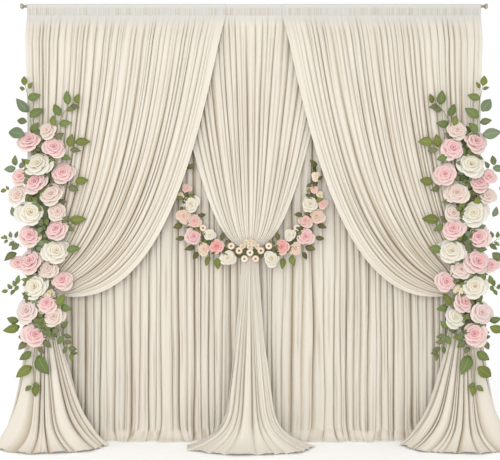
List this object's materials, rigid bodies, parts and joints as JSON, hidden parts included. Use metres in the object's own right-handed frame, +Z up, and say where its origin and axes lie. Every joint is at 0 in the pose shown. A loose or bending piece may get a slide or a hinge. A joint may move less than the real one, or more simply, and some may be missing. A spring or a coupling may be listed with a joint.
{
  "type": "draped backdrop curtain on its rod, with flower garlands",
  "caption": "Floor-length ivory backdrop curtain hung from a rod by its pocket, with swept-back side panels, a centre panel drawn to a knot, and rose garlands over the gathers.",
  "frame": {"origin": "on the floor, under the middle of the curtain's width and depth", "axes": "+X along the rod, to the right as seen from the front; +Y from front to back, so the front faces -Y; +Z up"},
  "size_m": [3.4601, 0.3923, 2.9328],
  "materials": {
    "front_cloth": "soft satin-faced crepe, ivory",
    "back_cloth": "soft satin-faced crepe, ivory",
    "rod_metal": "satin champagne bronze",
    "petals": "matt, pink to white",
    "leaves": "matt with a slight wax sheen",
    "beads": "pearl, peach ivory"
  },
  "bodies": {
    "root": {"rod": "rod_metal", "knob_right": "rod_metal", "knob_left": "rod_metal", "back_curtain": "back_cloth", "centre_panel": "front_cloth", "side_panel_left": "front_cloth", "side_panel_right": "front_cloth", "garland_left": "petals", "garland_right": "petals", "garland_centre": "petals"}
  },
  "joints": []
}
